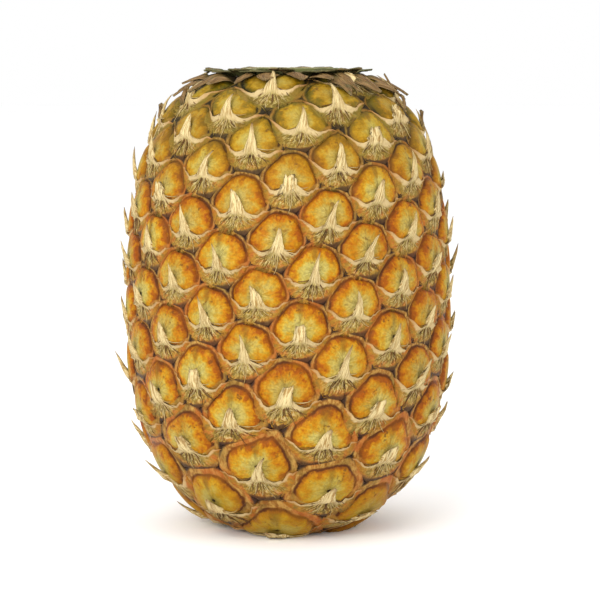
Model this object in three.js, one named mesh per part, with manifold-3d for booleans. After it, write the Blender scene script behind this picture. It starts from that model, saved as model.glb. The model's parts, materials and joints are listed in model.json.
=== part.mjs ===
// A fresh pineapple as it stands on a table once its leafy crown has been cut off.
// The fruit is one body grown from about 150 small fruits, the eyes, set on a golden-angle spiral.
// Each eye is a low dome with a dry, pointed bract on it. The stub of the crown and the cut stalk
// sit in seats at the top and the bottom.
// Millimetres and degrees, +Z up. The origin is on the floor, under the middle of the stalk.

import * as THREE from 'three';
import { ConvexHull } from 'three/addons/math/ConvexHull.js';
import { mergeVertices } from 'three/addons/utils/BufferGeometryUtils.js';
import Module from 'manifold-3d';

// Driving dimensions
const BODY = {
  radius: 60.5, // over the crests of the eyes, where the fruit is widest
  widestHeight: 78, // above the floor
  riseAbove: 94, // from the widest height to where the outline would close at the top
  dropBelow: 82.6, // from the widest height to where it would close, a little under the floor
  topPower: 2.9, // squareness of the shoulder
  basePower: 2.34, // squareness of the base
};
const EYES = {
  skinArea: 352, // mm2 of skin for each eye, above growthHeight
  baseGrowth: 1.56, // how much more skin an eye has at the floor
  growthHeight: 96,
  stepTurn: 137.38, // from each eye to the next one down
  firstTurn: -9.45, // eye 0, to the right of the front
  firstHeight: 92.8,
  twistFrom: 45, // the fruit is a little twisted below this eye
  twistStep: 0.72,
  scatter: 0.9, // how far an eye strays from the spiral
};
const RELIEF = {
  corner: -3.5, // the skin where three eyes meet, from the crests
  furrow: -2.7, // between two eyes
  rim: -0.75, // at the edge of the dome
  rimShare: 0.79, // how far out the edge of the dome is
  lowerDip: -0.9, // the lower half of an eye slopes away by this much
  dipRun: 7, // over this length below its middle
};
const BRACT = {
  root: { sides: 6, width: 7.6, depth: 2.6, above: -2.4, lift: -0.1 },
  middle: { sides: 4, width: 4.4, depth: 1.1, above: 1.7, lift: 2.3 },
  tip: { above: 6.4, lift: 4.3 },
  slant: 0.25, // how much the lower side of its section stands out, as a share of its depth
  sway: 1.5, // how far a tip leans to either side
  shortest: 0.86, // the range of sizes drawn
  longest: 1.1,
  growthLimit: 1.25, // it grows with its eye up to this much
  shoulderLift: 0.55, // by the crown its tip stands this much lower
  shoulderFrom: 130, // from this height
  shoulderRun: 40, // over this much more
  wornLength: 0.6, // by the floor it is worn to this share of its length
  wornBelow: 30, // below this height
};
const CROWN = {
  seatRadius: 24.5,
  eyeMargin: 5, // from the seat's edge to the middle of the nearest eye
  tipMargin: 1.6, // from the seat's edge to the nearest tip of a bract
  seatDepth: 6, // from the crests down to the flat floor of the seat
  cutHeight: 170.6, // above the floor, where the knife went through
  footRadius: 21.2, // outside of the lowest leaf, at its foot
  heartRadius: 8, // of the young leaves in the middle
  heartSides: 16,
  coreInset: 1.2, // the packed bases lie this far inside the lowest leaf's foot
  coreSpread: 2.5, // and this far outside it where the leaves part
  coreSides: 24,
  leaves: 17,
  firstLeafTurn: 20,
  leafTurn: 137.5,
  leafThickness: 3.4, // along its middle
  leafThinning: 0.75, // how much of that is gone at its edges
  leafSpan: 96, // how far round the stem it reaches at its foot
  leafNarrowing: 0.8, // the share of that left above the cut
  leafSteps: 6,
  uncut: 3, // how far a leaf is drawn past the cut
  outerFlare: 2.6, // how far the lowest leaf has spread there
  splitDepth: 2.2, // the leaves part from each other this far below the cut
};
const STALK = {
  seatRadius: 13.6,
  eyeMargin: 6,
  seatDepth: 9,
  radius: 12,
  edge: 0.9, // width of the worn edge
  sides: 30,
};
const CLEARANCE = 0.35; // between pieces that touch

const COLOURS = {
  fruit: { color: 0xc98a1e, roughness: 0.55, metalness: 0 },
  crown: { color: 0x6f7a3c, roughness: 0.6, metalness: 0 },
  stalk: { color: 0xc7a877, roughness: 0.8, metalness: 0 },
};

const TAU = 2 * Math.PI;
const { clamp, degToRad, lerp } = THREE.MathUtils;

const wasm = await Module();
wasm.setup();

// A repeatable draw from 0 to 1 for eye or leaf number n
function draw(n, seed) {
  const x = Math.sin(n * 12.9898 + seed * 78.233) * 43758.5453;
  return x - Math.floor(x);
}

// The outline of the fruit from the bottom pole to the top one. Each station has its radius r,
// height z, length s along the skin, the number of eyes passed, and the latitude that the
// station has on a globe onto which the skin is mapped without changing any angle.
function outline(steps = 600) {
  const stations = [];
  for (let k = 1; k < steps; k += 1) {
    const a = lerp(-Math.PI / 2, Math.PI / 2, k / steps);
    const power = a < 0 ? BODY.basePower : BODY.topPower;
    const reach = a < 0 ? -BODY.dropBelow : BODY.riseAbove;
    const r = BODY.radius * Math.cos(a) ** (2 / power);
    const z = BODY.widestHeight + reach * Math.abs(Math.sin(a)) ** (2 / power);
    stations.push({ r, z, s: 0, eyes: 0, iso: 0 });
  }
  for (let k = 1; k < stations.length; k += 1) {
    const [below, here] = [stations[k - 1], stations[k]];
    const step = Math.hypot(here.r - below.r, here.z - below.z);
    const r = (here.r + below.r) / 2;
    const low = Math.max(0, EYES.growthHeight - here.z) / EYES.growthHeight;
    here.s = below.s + step;
    here.eyes = below.eyes + (TAU * r * step) / (EYES.skinArea * (1 + EYES.baseGrowth * low * low));
    here.iso = below.iso + step / r;
  }
  const middle = stations.find((p) => p.z >= BODY.widestHeight).iso;
  for (const p of stations) p.iso -= middle;
  return stations;
}
const stations = outline();

// The station where the rising quantity `key` has the given value, between two samples
function stationAt(key, value) {
  let [low, high] = [0, stations.length - 1];
  while (high - low > 1) {
    const half = (low + high) >> 1;
    if (stations[half][key] > value) high = half;
    else low = half;
  }
  const [p, q] = [stations[low], stations[high]];
  const t = clamp((value - p[key]) / (q[key] - p[key]), 0, 1);
  const step = q.s - p.s;
  const at = { slopeR: (q.r - p.r) / step, slopeZ: (q.z - p.z) / step };
  for (const name of ['r', 'z', 's', 'eyes', 'iso']) at[name] = lerp(p[name], q[name], t);
  return at;
}

// The point on the skin at a turn in radians and a length along the outline, raised by lift
function skinPoint(turn, s, lift) {
  const at = stationAt('s', s);
  const r = at.r + at.slopeZ * lift;
  return new THREE.Vector3(r * Math.sin(turn), -r * Math.cos(turn), at.z - at.slopeR * lift);
}

// The same place on the globe, and back
function onGlobe(turn, iso) {
  const across = 1 / Math.cosh(iso);
  return new THREE.Vector3(across * Math.sin(turn), -across * Math.cos(turn), Math.tanh(iso));
}
function offGlobe(direction) {
  const flat = Math.hypot(direction.x, direction.y);
  const iso = Math.asinh(direction.z / Math.max(flat, 1e-6));
  return { turn: Math.atan2(direction.x, -direction.y), s: stationAt('iso', iso).s };
}

// The places of the eyes, from the crown's seat down to the stalk's
function placeEyes() {
  const start = stationAt('z', EYES.firstHeight).eyes;
  const top = stations.findLast((p) => p.r > CROWN.seatRadius + CROWN.eyeMargin).eyes;
  const bottom = stations.find((p) => p.r > STALK.seatRadius + STALK.eyeMargin).eyes;
  const eyes = [];
  for (let n = Math.ceil(start - top); n <= start - bottom; n += 1) {
    const twist = EYES.twistStep * Math.max(0, n - EYES.twistFrom);
    const at = stationAt('eyes', start - n);
    const s = at.s + EYES.scatter * (2 * draw(n, 1) - 1);
    const stray = (EYES.scatter * (2 * draw(n, 2) - 1)) / at.r;
    const turn = degToRad(EYES.firstTurn - EYES.stepTurn * n - twist) + stray;
    const low = Math.max(0, EYES.growthHeight - at.z) / EYES.growthHeight;
    const size = Math.sqrt(1 + EYES.baseGrowth * low * low);
    eyes.push({ n, turn, s, size, direction: onGlobe(turn, stationAt('s', s).iso), ring: [] });
  }
  return eyes;
}

// A point of the net between the cells. On the edge of a seat it lies on the seat's circle.
function netPoint(place, seat, lift) {
  if (!seat) return skinPoint(place.turn, place.s, lift);
  const point = skinPoint(place.turn, seat.edge, lift);
  const r = Math.hypot(point.x, point.y);
  return new THREE.Vector3((point.x * seat.radius) / r, (point.y * seat.radius) / r, point.z);
}

// Joins two closed rings of points, both counter-clockwise from outside, with a strip of triangles
function strip(outer, inner, faces) {
  let [i, j] = [0, 0];
  while (i < outer.length || j < inner.length) {
    const nextOuter = (i + 1) / outer.length;
    const nextInner = (j + 1) / inner.length;
    const [a, b] = [outer[i % outer.length], inner[j % inner.length]];
    if (j >= inner.length || (i < outer.length && nextOuter <= nextInner)) {
      i += 1;
      faces.push(a, outer[i % outer.length], b);
    } else {
      j += 1;
      faces.push(a, inner[j % inner.length], b);
    }
  }
}

function fan(ring, middle, faces) {
  ring.forEach((a, k) => faces.push(a, ring[(k + 1) % ring.length], middle));
}

// A geometry as a solid, and a solid as a geometry
function solidOf(geometry) {
  const bare = geometry.clone();
  bare.deleteAttribute('normal');
  bare.deleteAttribute('uv');
  const merged = mergeVertices(bare, 1e-4);
  return new wasm.Manifold(
    new wasm.Mesh({
      numProp: 3,
      vertProperties: merged.attributes.position.array,
      triVerts: new Uint32Array(merged.index.array),
    }),
  );
}
function geometryOf(solid) {
  const mesh = solid.getMesh();
  const geometry = new THREE.BufferGeometry();
  geometry.setAttribute('position', new THREE.BufferAttribute(mesh.vertProperties, 3));
  geometry.setIndex(new THREE.BufferAttribute(mesh.triVerts, 1));
  geometry.computeVertexNormals();
  return geometry;
}

// The ring round a bract at one of its stations, counter-clockwise from outside
function bractRing(eye, station, sway, grow) {
  const ring = [];
  for (let k = 0; k < station.sides; k += 1) {
    const a = (TAU * k) / station.sides;
    const across = (grow * station.width * Math.cos(a)) / 2 + sway;
    const up = grow * (station.above + (station.depth * Math.sin(a)) / 2);
    const s = eye.s + up;
    const lift = station.lift * grow - Math.sin(a) * station.depth * BRACT.slant;
    ring.push(skinPoint(eye.turn + across / stationAt('s', s).r, s, lift));
  }
  return ring;
}

// The fruit: a net of cells over the skin, each raised to a dome with its bract drawn out of it
function buildFruit() {
  const eyes = placeEyes();
  const crownSeat = { radius: CROWN.seatRadius, ring: [] };
  const stalkSeat = { radius: STALK.seatRadius, ring: [] };
  crownSeat.edge = stations.findLast((p) => p.r > crownSeat.radius).s;
  stalkSeat.edge = stations.find((p) => p.r > stalkSeat.radius).s;
  crownSeat.direction = new THREE.Vector3(0, 0, 1);
  stalkSeat.direction = new THREE.Vector3(0, 0, -1);
  const poles = [crownSeat, stalkSeat];
  const cells = [...eyes, ...poles];
  const byPoint = new Map(cells.map((cell) => [cell.direction, cell]));
  const hull = new ConvexHull().setFromPoints(cells.map((cell) => cell.direction));

  const points = [];
  const faces = [];
  const add = (point) => points.push(point) - 1;

  // The corners of the net, and the middles of its edges
  const corners = new Map();
  for (const face of hull.faces) {
    face.cells = [0, 1, 2].map((k) => byPoint.get(face.getEdge(k).head().point));
    // Three cells meet at the middle of the circle through their eyes on the globe
    const corner = offGlobe(face.normal);
    const seat = poles.find((pole) => face.cells.includes(pole));
    if (seat) corner.s = seat.edge;
    corner.index = add(netPoint(corner, seat, RELIEF.corner));
    corners.set(face, corner);
  }
  const middles = new Map();
  const spread = (corner) => onGlobe(corner.turn, stationAt('s', corner.s).iso);
  for (const face of hull.faces) {
    for (let k = 0; k < 3; k += 1) {
      const edge = face.getEdge(k);
      if (middles.has(edge)) continue;
      const other = edge.twin.face;
      const [a, b] = [corners.get(face), corners.get(other)];
      const middle = offGlobe(spread(a).add(spread(b)));
      const seat = poles.find((pole) => face.cells.includes(pole) && other.cells.includes(pole));
      if (seat) middle.s = seat.edge;
      middle.index = add(netPoint(middle, seat, RELIEF.furrow));
      middles.set(edge, middle);
      middles.set(edge.twin, middle);
    }
  }

  // Round each cell, counter-clockwise: corner, middle, corner and so on
  for (const face of hull.faces) {
    for (let k = 0; k < 3; k += 1) {
      const edge = face.getEdge(k);
      const cell = byPoint.get(edge.head().point);
      if (cell.ring.length) continue;
      let walk = edge;
      do {
        cell.ring.push(corners.get(walk.face), middles.get(walk));
        walk = walk.twin.prev;
      } while (walk !== edge);
    }
  }

  const lastTip = stations.findLast((p) => p.r > CROWN.seatRadius + CROWN.tipMargin).s;
  for (const eye of eyes) {
    const height = stationAt('s', eye.s).z;
    const worn = lerp(BRACT.wornLength, 1, clamp(height / BRACT.wornBelow, 0, 1));
    const drawn = lerp(BRACT.shortest, BRACT.longest, draw(eye.n, 3));
    const grow = Math.min(eye.size, BRACT.growthLimit) * worn * drawn;

    // The ring starts to the right of the bract's root, where the bract's rings start
    const rootS = eye.s + grow * BRACT.root.above;
    const bearing = (p) => {
      const across = Math.sin(p.turn - eye.turn) * stationAt('s', p.s).r;
      return (Math.atan2(p.s - rootS, across) + TAU) % TAU;
    };
    const first = eye.ring.reduce((best, p, k) => {
      const off = Math.min(bearing(p), TAU - bearing(p));
      return off < best.off ? { off, k } : best;
    }, { off: TAU, k: 0 }).k;
    eye.ring = [...eye.ring.slice(first), ...eye.ring.slice(0, first)];

    const rim = eye.ring.map((p) => {
      const place = offGlobe(eye.direction.clone().lerp(spread(p), RELIEF.rimShare));
      const dip = RELIEF.lowerDip * clamp((eye.s - place.s) / RELIEF.dipRun, 0, 1);
      return add(skinPoint(place.turn, place.s, RELIEF.rim + dip));
    });
    const sway = BRACT.sway * (2 * draw(eye.n, 4) - 1);
    const root = bractRing(eye, BRACT.root, 0, grow).map(add);
    const up = clamp((height - BRACT.shoulderFrom) / BRACT.shoulderRun, 0, 1);
    const lie = lerp(1, BRACT.shoulderLift, up);
    const lying = { ...BRACT.middle, lift: BRACT.middle.lift * lie };
    const middle = bractRing(eye, lying, sway / 2, grow).map(add);
    const tipS = Math.min(eye.s + grow * BRACT.tip.above, lastTip);
    const tipTurn = eye.turn + sway / stationAt('s', tipS).r;
    const tip = add(skinPoint(tipTurn, tipS, grow * lie * BRACT.tip.lift));
    strip(eye.ring.map((p) => p.index), rim, faces);
    strip(rim, root, faces);
    strip(root, middle, faces);
    fan(middle, tip, faces);
  }

  // The two seats: a wall down from the skin, and a flat floor
  for (const [seat, depth] of [[crownSeat, CROWN.seatDepth], [stalkSeat, STALK.seatDepth]]) {
    const up = Math.sign(seat.direction.z);
    const floor = up > 0 ? stationAt('s', seat.edge).z - depth : depth;
    const wall = seat.ring.map((p) => {
      const at = points[p.index].clone();
      return add(at.setZ(floor));
    });
    strip(seat.ring.map((p) => p.index), wall, faces);
    fan(wall, add(new THREE.Vector3(0, 0, floor)), faces);
    seat.floor = floor;
  }

  const geometry = new THREE.BufferGeometry().setFromPoints(points);
  geometry.setIndex(faces);
  const grown = solidOf(geometry);
  // The eyes that it stands on are pressed flat, and a crumb that this leaves is dropped
  const standing = grown.trimByPlane([0, 0, 1], 0).decompose();
  standing.sort((a, b) => b.volume() - a.volume());
  return { geometry: geometryOf(standing[0]), crownFloor: crownSeat.floor, stalkFloor: stalkSeat.floor };
}

// A leaf base of the crown, from its foot on the stem to above the cut: a crescent that widens
// and leans out as it rises
function leafBase(k, floor) {
  const share = k / (CROWN.leaves - 1); // 0 for the outermost, lowest leaf
  const turn = degToRad(CROWN.firstLeafTurn + CROWN.leafTurn * k);
  const half = degToRad(CROWN.leafSpan) / 2;
  const foot = lerp(CROWN.footRadius, CROWN.heartRadius, share);
  const spread = lerp(CROWN.footRadius + CROWN.outerFlare, CROWN.heartRadius, share);
  const levels = [
    { z: floor, r: foot, wide: 1 },
    { z: CROWN.cutHeight + CROWN.uncut, r: spread, wide: CROWN.leafNarrowing },
  ];
  const arc = CROWN.leafSteps;
  const rings = levels.map(({ z, r, wide }) => {
    const outer = [];
    const inner = [];
    for (let j = 0; j <= arc; j += 1) {
      const across = lerp(-1, 1, j / arc);
      const a = turn + across * half * wide;
      const thick = CROWN.leafThickness * (1 - CROWN.leafThinning * across * across);
      outer.push(new THREE.Vector3(r * Math.sin(a), -r * Math.cos(a), z));
      inner.push(new THREE.Vector3((r - thick) * Math.sin(a), -(r - thick) * Math.cos(a), z));
    }
    return [...outer, ...inner.reverse()];
  });
  const points = rings.flat();
  const count = rings[0].length;
  const low = [...Array(count).keys()];
  const high = low.map((j) => j + count);
  const faces = [];
  strip(low, high, faces);
  for (let j = 0; j < arc; j += 1) {
    const [a, b, c, d] = [j, j + 1, count - 2 - j, count - 1 - j];
    faces.push(a, c, b, a, d, c);
    faces.push(a + count, b + count, c + count, a + count, c + count, d + count);
  }
  const geometry = new THREE.BufferGeometry().setFromPoints(points);
  geometry.setIndex(faces);
  return solidOf(geometry);
}

// The stub of the crown: leaf bases packed round the stem, cut through flat
function buildCrownStub(seatFloor) {
  const floor = seatFloor + CLEARANCE;
  const coreTop = CROWN.cutHeight - CROWN.splitDepth;
  const core = new THREE.LatheGeometry([
    new THREE.Vector2(0, floor),
    new THREE.Vector2(CROWN.footRadius - CROWN.coreInset, floor),
    new THREE.Vector2(CROWN.footRadius + CROWN.coreSpread, coreTop),
    new THREE.Vector2(0, coreTop),
  ], CROWN.coreSides).rotateX(Math.PI / 2);
  const heart = new THREE.LatheGeometry([
    new THREE.Vector2(0, floor),
    new THREE.Vector2(CROWN.heartRadius, floor),
    new THREE.Vector2(CROWN.heartRadius, CROWN.cutHeight),
    new THREE.Vector2(0, CROWN.cutHeight),
  ], CROWN.heartSides).rotateX(Math.PI / 2);
  let stub = solidOf(core).add(solidOf(heart));
  for (let k = 0; k < CROWN.leaves; k += 1) stub = stub.add(leafBase(k, floor));
  return geometryOf(stub.trimByPlane([0, 0, -1], -CROWN.cutHeight));
}

// The cut end of the stalk, level with the floor
function buildStalkEnd(seatFloor) {
  const top = seatFloor - CLEARANCE;
  const geometry = new THREE.LatheGeometry([
    new THREE.Vector2(0, 0),
    new THREE.Vector2(STALK.radius - STALK.edge, 0),
    new THREE.Vector2(STALK.radius, STALK.edge),
    new THREE.Vector2(STALK.radius, top),
    new THREE.Vector2(0, top),
  ], STALK.sides).rotateX(Math.PI / 2);
  return geometryOf(solidOf(geometry));
}

function piece(name, geometry, look) {
  const mesh = new THREE.Mesh(geometry, new THREE.MeshStandardMaterial(look));
  mesh.name = name;
  return mesh;
}

const pineapple = new THREE.Group();
const fruit = buildFruit();
pineapple.add(piece('fruit', fruit.geometry, COLOURS.fruit));
pineapple.add(piece('crown_stub', buildCrownStub(fruit.crownFloor), COLOURS.crown));
pineapple.add(piece('stalk_end', buildStalkEnd(fruit.stalkFloor), COLOURS.stalk));

export default pineapple;
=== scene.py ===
import json
import math

import bmesh
import bpy
import numpy as np
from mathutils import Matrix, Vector

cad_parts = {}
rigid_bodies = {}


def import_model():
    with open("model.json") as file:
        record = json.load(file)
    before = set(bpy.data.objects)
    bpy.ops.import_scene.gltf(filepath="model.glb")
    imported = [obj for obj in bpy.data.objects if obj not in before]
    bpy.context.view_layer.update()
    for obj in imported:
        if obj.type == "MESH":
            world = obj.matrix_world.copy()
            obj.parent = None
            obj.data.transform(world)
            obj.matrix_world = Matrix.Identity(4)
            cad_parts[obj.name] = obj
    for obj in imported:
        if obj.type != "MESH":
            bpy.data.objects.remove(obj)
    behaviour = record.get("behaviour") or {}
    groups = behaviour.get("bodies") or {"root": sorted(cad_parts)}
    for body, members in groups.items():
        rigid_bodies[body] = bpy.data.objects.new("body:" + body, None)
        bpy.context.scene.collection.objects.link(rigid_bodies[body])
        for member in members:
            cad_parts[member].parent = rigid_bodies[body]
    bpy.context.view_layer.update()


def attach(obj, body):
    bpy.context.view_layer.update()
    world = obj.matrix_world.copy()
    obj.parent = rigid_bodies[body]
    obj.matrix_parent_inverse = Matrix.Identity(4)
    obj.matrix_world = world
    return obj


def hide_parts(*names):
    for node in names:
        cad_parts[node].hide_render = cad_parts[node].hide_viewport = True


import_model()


# The rind
# A pineapple is some 150 small fruits, the eyes, grown into one body round a core. Each eye
# ends in a waxy dome that presses against its neighbours, which leaves a net of furrows. The
# sizes here are in millimetres, and a mesh is made metres when it becomes a piece.
RADIUS = 60.5
WIDEST_HEIGHT = 78.0
RISE_ABOVE = 94.0
DROP_BELOW = 82.6
TOP_POWER = 2.9
BASE_POWER = 2.34
SKIN_AREA = 352.0
BASE_GROWTH = 1.56
GROWTH_HEIGHT = 96.0
STEP_TURN = 137.38
FIRST_TURN = -9.45
FIRST_HEIGHT = 92.8
TWIST_FROM = 45
TWIST_STEP = 0.72
SCATTER = 0.9
CROWN_SEAT_RADIUS = 24.5
CROWN_EYE_MARGIN = 5.0
CROWN_SEAT_DEPTH = 3.0
STALK_SEAT_RADIUS = 13.6
STALK_EYE_MARGIN = 6.0
STALK_SEAT_HEIGHT = 9.0
SEAT_NARROWING = 0.985
DOME_SAG = 0.6
FURROW_LIFT = -2.4
FURROW_POWER = 13
COLLAR_RUN = 0.12
EDGE_LIFT = -1.8
CORNER_LIFT = -3.2
LOWER_DIP = -1.3
FOLD_DEPTH = 0.25
PIT_DEPTH = 0.5
PIT_SHARE = 0.13
DOME_ROUNDING = 0.1
DOME_SHARE = 0.9
DOME_SHRINK = 0.4
WING_ROOT = 2.3
WING_ROOT_DOWN = 3.4
WING_END_DOWN = 1.0
WING_DROOP = 1.5
EYE_HALF = 12.0
EDGE_STEPS = 7
RING_SHARES = (0.985, 0.955, 0.915, 0.865, 0.8, 0.72, 0.62, 0.52, 0.42, 0.32, 0.22, 0.13, 0.06)
# Of each corner of a face: place in the eye, share of the dome, the eye's seed, depth in the
# bract's base and share of the cell. The seats of the crown and the stalk have one set of these.
# These seat marks darken the seats with the painted shade of the cell corners.
SEAT_MARKS = (0.0, 1.2, 1.3, 0.5, -1.0, 1.0)
MARK_MAPS = ("eye_place", "eye_state", "eye_body")
STUDIO_LIGHT = 1.78
MM = 0.001


def draw(n, seed):
    """A repeatable draw from 0 to 1 for number n, the same as in the part's own source."""
    x = np.sin(np.asarray(n, float) * 12.9898 + seed * 78.233) * 43758.5453
    return x - np.floor(x)


def cell_growth(height):
    """How much larger than usual an eye's cell is at a height. The lowest eyes are the largest."""
    low = np.maximum(0, GROWTH_HEIGHT - height) / GROWTH_HEIGHT
    return 1 + BASE_GROWTH * low**2


def outline(steps=600):
    """The fruit's outline from the bottom pole to the top one, with the eyes passed and the
    latitude on a globe onto which the skin is mapped without changing any angle."""
    a = np.linspace(-math.pi / 2, math.pi / 2, steps + 1)[1:-1]
    power = np.where(a < 0, BASE_POWER, TOP_POWER)
    reach = np.where(a < 0, -DROP_BELOW, RISE_ABOVE)
    r = RADIUS * np.cos(a) ** (2 / power)
    z = WIDEST_HEIGHT + reach * np.abs(np.sin(a)) ** (2 / power)
    step = np.hypot(np.diff(r), np.diff(z))
    middle = (r[1:] + r[:-1]) / 2
    area = SKIN_AREA * cell_growth(z[1:])
    s = np.concatenate([[0], np.cumsum(step)])
    eyes = np.concatenate([[0], np.cumsum(2 * math.pi * middle * step / area)])
    iso = np.concatenate([[0], np.cumsum(step / middle)])
    iso -= iso[np.argmax(z >= WIDEST_HEIGHT)]
    return {"r": r, "z": z, "s": s, "eyes": eyes, "iso": iso,
            "slope_r": np.gradient(r, s), "slope_z": np.gradient(z, s)}


skin = outline()


def at(key, value, wanted):
    """A quantity of the outline where another one has the given value."""
    return np.interp(value, skin[key], skin[wanted])


def skin_point(turn, s, lift):
    """Points on the skin at a turn and a length along the outline, raised by lift."""
    out = at("s", s, "r") + at("s", s, "slope_z") * lift
    up = at("s", s, "z") - at("s", s, "slope_r") * lift
    return np.stack([out * np.sin(turn), -out * np.cos(turn), up], -1)


def on_globe(turn, iso):
    across = 1 / np.cosh(iso)
    return np.stack([across * np.sin(turn), -across * np.cos(turn), np.tanh(iso)], -1)


def off_globe(direction):
    flat = np.maximum(np.hypot(direction[..., 0], direction[..., 1]), 1e-6)
    iso = np.arcsinh(direction[..., 2] / flat)
    return np.arctan2(direction[..., 0], -direction[..., 1]), at("iso", iso, "s")


def place_eyes():
    start = at("z", FIRST_HEIGHT, "eyes")
    top = skin["eyes"][np.nonzero(skin["r"] > CROWN_SEAT_RADIUS + CROWN_EYE_MARGIN)[0][-1]]
    bottom = skin["eyes"][np.nonzero(skin["r"] > STALK_SEAT_RADIUS + STALK_EYE_MARGIN)[0][0]]
    n = np.arange(math.ceil(start - top), math.floor(start - bottom) + 1)
    along = at("eyes", start - n, "s")
    turned = FIRST_TURN - STEP_TURN * n - TWIST_STEP * np.maximum(0, n - TWIST_FROM)
    stray = SCATTER * (2 * draw(n, 2) - 1) / at("s", along, "r")
    return {"n": n, "s": along + SCATTER * (2 * draw(n, 1) - 1),
            "turn": np.radians(turned) + stray, "size": np.sqrt(cell_growth(at("s", along, "z")))}


eyes = place_eyes()
eyes["height"] = at("s", eyes["s"], "z")
eye_count = len(eyes["n"])
seat_edges = {
    eye_count: skin["s"][np.nonzero(skin["r"] > CROWN_SEAT_RADIUS)[0][-1]],
    eye_count + 1: skin["s"][np.nonzero(skin["r"] > STALK_SEAT_RADIUS)[0][0]],
}


def net_of_cells():
    """The net between the eyes: its corners on the globe, and the corners round each cell."""
    eye_directions = on_globe(eyes["turn"], at("s", eyes["s"], "iso"))
    directions = np.vstack([eye_directions, [[0, 0, 1], [0, 0, -1]]])
    hull = bmesh.new()
    for direction in directions:
        hull.verts.new(direction)
    hull.verts.index_update()
    bmesh.ops.convex_hull(hull, input=hull.verts[:])
    triangles = np.array([[v.index for v in face.verts] for face in hull.faces])
    hull.free()
    a, b, c = (directions[triangles[:, k]] for k in range(3))
    corners = np.cross(b - a, c - a)
    corners /= np.linalg.norm(corners, axis=1, keepdims=True)
    corners *= np.sign((corners * (a + b + c)).sum(1, keepdims=True))
    turn, s = off_globe(corners)
    for seat, edge in seat_edges.items():
        s = np.where((triangles == seat).any(1), edge, s)
    rings = []
    for cell, middle in enumerate(directions):
        around = np.nonzero((triangles == cell).any(1))[0]
        side = np.cross([0, 0, 1.0], middle)
        if np.linalg.norm(side) < 1e-6:
            side = np.array([1.0, 0, 0])
        side /= np.linalg.norm(side)
        ahead = np.cross(middle, side)
        bearing = np.arctan2(corners[around] @ ahead, corners[around] @ side)
        rings.append(around[np.argsort(bearing)])
    return triangles, corners, turn, s, rings


cell_triangles, cell_corners, corner_turn, corner_s, cell_rings = net_of_cells()


def local_place(turn, s, eye):
    """A place on the skin in millimetres across and up from the middle of an eye."""
    off = (turn - eyes["turn"][eye] + math.pi) % (2 * math.pi) - math.pi
    return np.stack([off * at("s", s, "r"), s - eyes["s"][eye]], -1)


def rounded_reach(reach):
    """The reach of an eye's dome on each bearing: its cell's, with the corners rounded off."""
    count = len(reach)
    share = np.arange(count) / count
    gap = np.abs(share[:, None] - share[None, :])
    weight = np.exp(-((np.minimum(gap, 1 - gap) / DOME_ROUNDING) ** 2))
    return np.minimum(reach, (weight @ reach) / weight.sum(1))


def wing_down(wing):
    """How far below the eye's middle the bract's upper edge lies, by the way out along it."""
    droop = WING_DROOP * np.sin(math.pi * np.clip(1.6 * wing, 0, 1))
    return WING_ROOT_DOWN + (WING_END_DOWN - WING_ROOT_DOWN) * wing**1.5 + droop


def depth_in_bract(x, y):
    """How far below the upper edge of the bract's fleshy base a place in an eye lies."""
    return -y - wing_down(np.clip((np.abs(x) - WING_ROOT) / (EYE_HALF - WING_ROOT), 0, 1))


def eased(share):
    return share * share * (3 - 2 * share)


def dome_lift(x, y, rho, share, eye):
    """How far the skin of an eye stands from the crests, by its place in the eye. The dome ends
    at its rounded outline, and the bract's base below it reaches out to the cell's own."""
    inside = np.minimum(rho, 1.0)
    dome = -DOME_SAG * inside**2 + (FURROW_LIFT + DOME_SAG) * inside**FURROW_POWER
    # Three sepals meet at the middle, in shallow folds, round a small pit
    bearing = np.arctan2(x, y)
    fold = np.cos(1.5 * (bearing + 0.25 * (draw(eye, 21) - 0.5))) ** 40
    dome -= FOLD_DEPTH * fold * np.clip(rho / 0.2, 0, 1) * np.clip((0.95 - rho) / 0.3, 0, 1)
    dome -= PIT_DEPTH * np.exp(-((rho / PIT_SHARE) ** 2)) * (0.4 + draw(eye, 22))
    dome += (EDGE_LIFT - FURROW_LIFT) * eased(np.clip((rho - 1) / COLLAR_RUN, 0, 1))
    under = LOWER_DIP + (EDGE_LIFT - LOWER_DIP) * share**3
    low = eased(np.clip(depth_in_bract(x, y) / 1.4 + 0.2, 0, 1))
    return dome * (1 - low) + under * low


def quads(rows, columns, rows_close=False, columns_close=False, first=0):
    """Faces between the neighbouring points of a net. Its rows or columns may close on
    themselves, and its points are counted from the first one, row by row."""
    faces = []
    for row in range(rows - 1 + rows_close):
        for k in range(columns - 1 + columns_close):
            here, there = first + row * columns, first + (row + 1) % rows * columns
            beside = (k + 1) % columns
            faces.append([here + k, here + beside, there + beside, there + k])
    return faces


def rings_to_middle(rings, width):
    """Faces of rings inside one another, down to a point in the middle of the last."""
    last = (rings - 1) * width
    fan = [[last + k, last + (k + 1) % width, rings * width] for k in range(width)]
    return quads(rings, width, columns_close=True) + fan


def cell_edges():
    """The points along the edges between cells, after those at the corners: turn and place
    along the outline, how far each is lifted, and the numbers of the points on each edge."""
    places = [np.stack([corner_turn, corner_s], -1)]
    lifts = [np.full(len(cell_corners), CORNER_LIFT)]
    count = len(cell_corners)
    edges = {}
    share = np.arange(1, EDGE_STEPS) / EDGE_STEPS
    for ring in cell_rings:
        for one, two in zip(ring, np.roll(ring, -1)):
            key = (min(one, two), max(one, two))
            if key in edges:
                continue
            way = (cell_corners[key[0]] * (1 - share[:, None])
                   + cell_corners[key[1]] * share[:, None])
            turn, s = off_globe(way)
            for seat, edge in seat_edges.items():
                if (cell_triangles[one] == seat).any() and (cell_triangles[two] == seat).any():
                    s = np.full(len(s), edge)
            places.append(np.stack([turn, s], -1))
            bow = np.abs(2 * share - 1) ** 4
            lifts.append(EDGE_LIFT + (CORNER_LIFT - EDGE_LIFT) * bow)
            edges[key] = np.arange(count, count + EDGE_STEPS - 1)
            count += EDGE_STEPS - 1
    return np.vstack(places), np.concatenate(lifts), edges


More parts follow.
